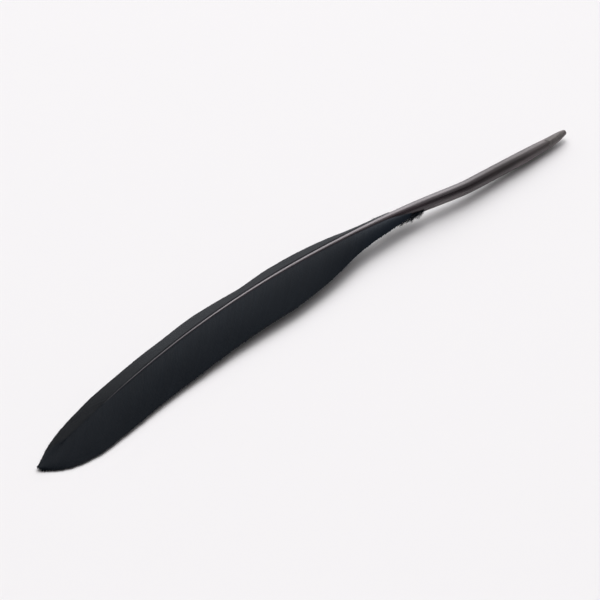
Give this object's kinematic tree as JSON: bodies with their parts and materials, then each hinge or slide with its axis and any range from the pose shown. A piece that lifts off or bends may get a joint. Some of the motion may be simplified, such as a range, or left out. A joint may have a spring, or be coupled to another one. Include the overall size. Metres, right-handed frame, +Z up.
{
  "type": "feather quill",
  "caption": "Uncut flight-feather quill: hollow round barrel, slim arched shaft and a lopsided vane of slanting barbs, broad on one side and narrow on the other.",
  "frame": {"origin": "on the barrel's axis where the rounded nose has grown to the full barrel radius, 14 mm in from the open calamus end", "axes": "+X along the shaft from the calamus end to the feather tip, +Y to the broad trailing vane, +Z up out of the dorsal face with the quill lying on a desk; the barrel rises 2.6 degrees from the desk towards the vane"},
  "size_m": [0.149, 0.0175, 0.0044],
  "materials": {
    "barrel_keratin": "satin",
    "sheath": "matte",
    "pulp": "matte",
    "shaft_keratin": "satin",
    "pith": "matte",
    "down": "matte",
    "vane": "satin"
  },
  "bodies": {
    "shaft": {"calamus": "barrel_keratin", "sheath_remnant": "sheath", "pulp_caps": "pulp", "rachis_cortex": "shaft_keratin", "rachis_medulla": "pith", "trailing_down": "down", "leading_down": "down", "tip_barbs": "vane"},
    "trailing_lower_vane": {"trailing_barbs_lower": "vane"},
    "trailing_middle_vane": {"trailing_barbs_middle": "vane"},
    "trailing_upper_vane": {"trailing_barbs_upper": "vane"},
    "trailing_outer_vane": {"trailing_barbs_outer": "vane"},
    "leading_lower_vane": {"leading_barbs_lower": "vane"},
    "leading_upper_vane": {"leading_barbs_upper": "vane"}
  },
  "joints": [
    {"name": "trailing_lower_flex", "type": "hinge", "parent": "shaft", "child": "trailing_lower_vane", "pos_m": [0.04289, -0.00192, 0.00217], "axis": [0.9931, -0.1137, 0.0298], "range_deg": [-12, 28], "stiffness_Nm_per_rad": 0.00001},
    {"name": "trailing_middle_flex", "type": "hinge", "parent": "shaft", "child": "trailing_middle_vane", "pos_m": [0.06625, -0.00321, 0.00224], "axis": [0.9999, -0.0033, -0.0114], "range_deg": [-7, 28], "stiffness_Nm_per_rad": 0.00002},
    {"name": "trailing_upper_flex", "type": "hinge", "parent": "shaft", "child": "trailing_upper_vane", "pos_m": [0.09114, -0.00201, 0.00162], "axis": [0.9944, 0.0983, -0.0389], "range_deg": [-2, 28], "stiffness_Nm_per_rad": 0.00002},
    {"name": "trailing_outer_flex", "type": "hinge", "parent": "shaft", "child": "trailing_outer_vane", "pos_m": [0.11508, 0.00135, 0.00034], "axis": [0.9822, 0.175, -0.0677], "range_deg": [-1, 25], "stiffness_Nm_per_rad": 0.00001},
    {"name": "leading_lower_flex", "type": "hinge", "parent": "shaft", "child": "leading_lower_vane", "pos_m": [0.05773, -0.00419, 0.00223], "axis": [-0.9999, 0.0113, 0.0041], "range_deg": [-12, 22], "stiffness_Nm_per_rad": 0.000001},
    {"name": "leading_upper_flex", "type": "hinge", "parent": "shaft", "child": "leading_upper_vane", "pos_m": [0.10332, -0.00094, 0.00093], "axis": [-0.9874, -0.1491, 0.0534], "range_deg": [-5, 22], "stiffness_Nm_per_rad": 0.000002}
  ]
}
